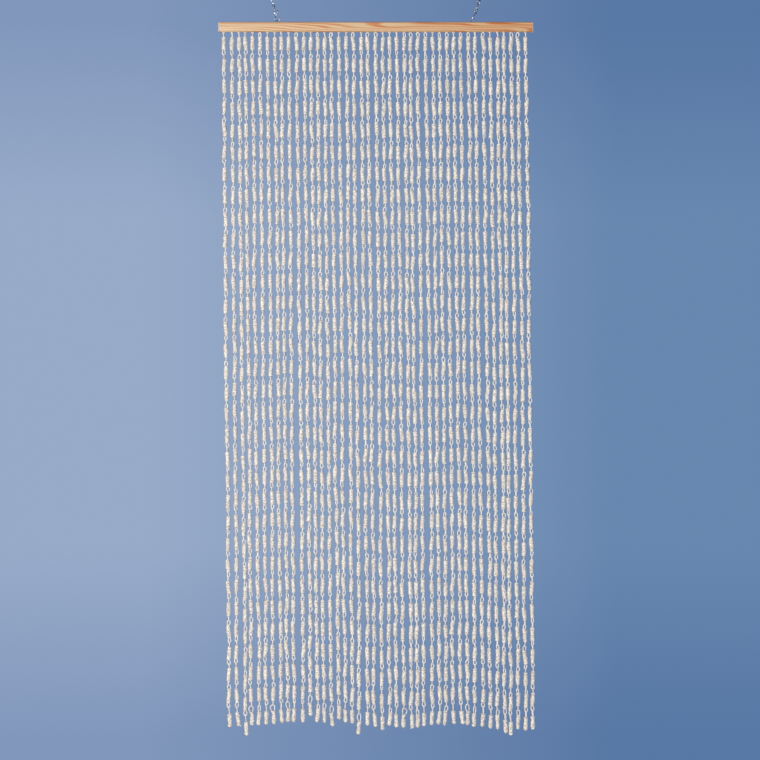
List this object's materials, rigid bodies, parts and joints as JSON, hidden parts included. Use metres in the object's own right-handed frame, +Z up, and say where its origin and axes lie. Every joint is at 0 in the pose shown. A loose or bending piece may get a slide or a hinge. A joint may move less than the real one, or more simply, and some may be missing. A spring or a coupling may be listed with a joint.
{
  "type": "string door curtain with batten and hanging chains",
  "caption": "String door curtain: many strands of wound cord bobbins linked by cord loops, hanging from a pine batten with two short chains.",
  "frame": {"origin": "centre of the batten's flat back face", "axes": "+Z up along the hanging strands, +X along the batten to the viewer's right, +Y out of the batten's back face, front towards -Y"},
  "size_m": [0.9052, 0.0162, 2.1296],
  "materials": {
    "pine": "planed, oiled",
    "cotton_cord": "matt twisted cord",
    "zinc_plate": "bright zinc"
  },
  "bodies": {
    "root": {"batten": "pine", "heading_left": "cotton_cord", "heading_right": "cotton_cord", "screw_eye_left": "zinc_plate", "s_hook_left": "zinc_plate", "chain_link_left_1": "zinc_plate", "chain_link_left_2": "zinc_plate", "chain_link_left_3": "zinc_plate", "chain_link_left_4": "zinc_plate", "chain_link_left_5": "zinc_plate", "end_ring_left": "zinc_plate", "screw_eye_right": "zinc_plate", "s_hook_right": "zinc_plate", "chain_link_right_1": "zinc_plate", "chain_link_right_2": "zinc_plate", "chain_link_right_3": "zinc_plate", "chain_link_right_4": "zinc_plate", "chain_link_right_5": "zinc_plate", "end_ring_right": "zinc_plate"}
  },
  "joints": []
}
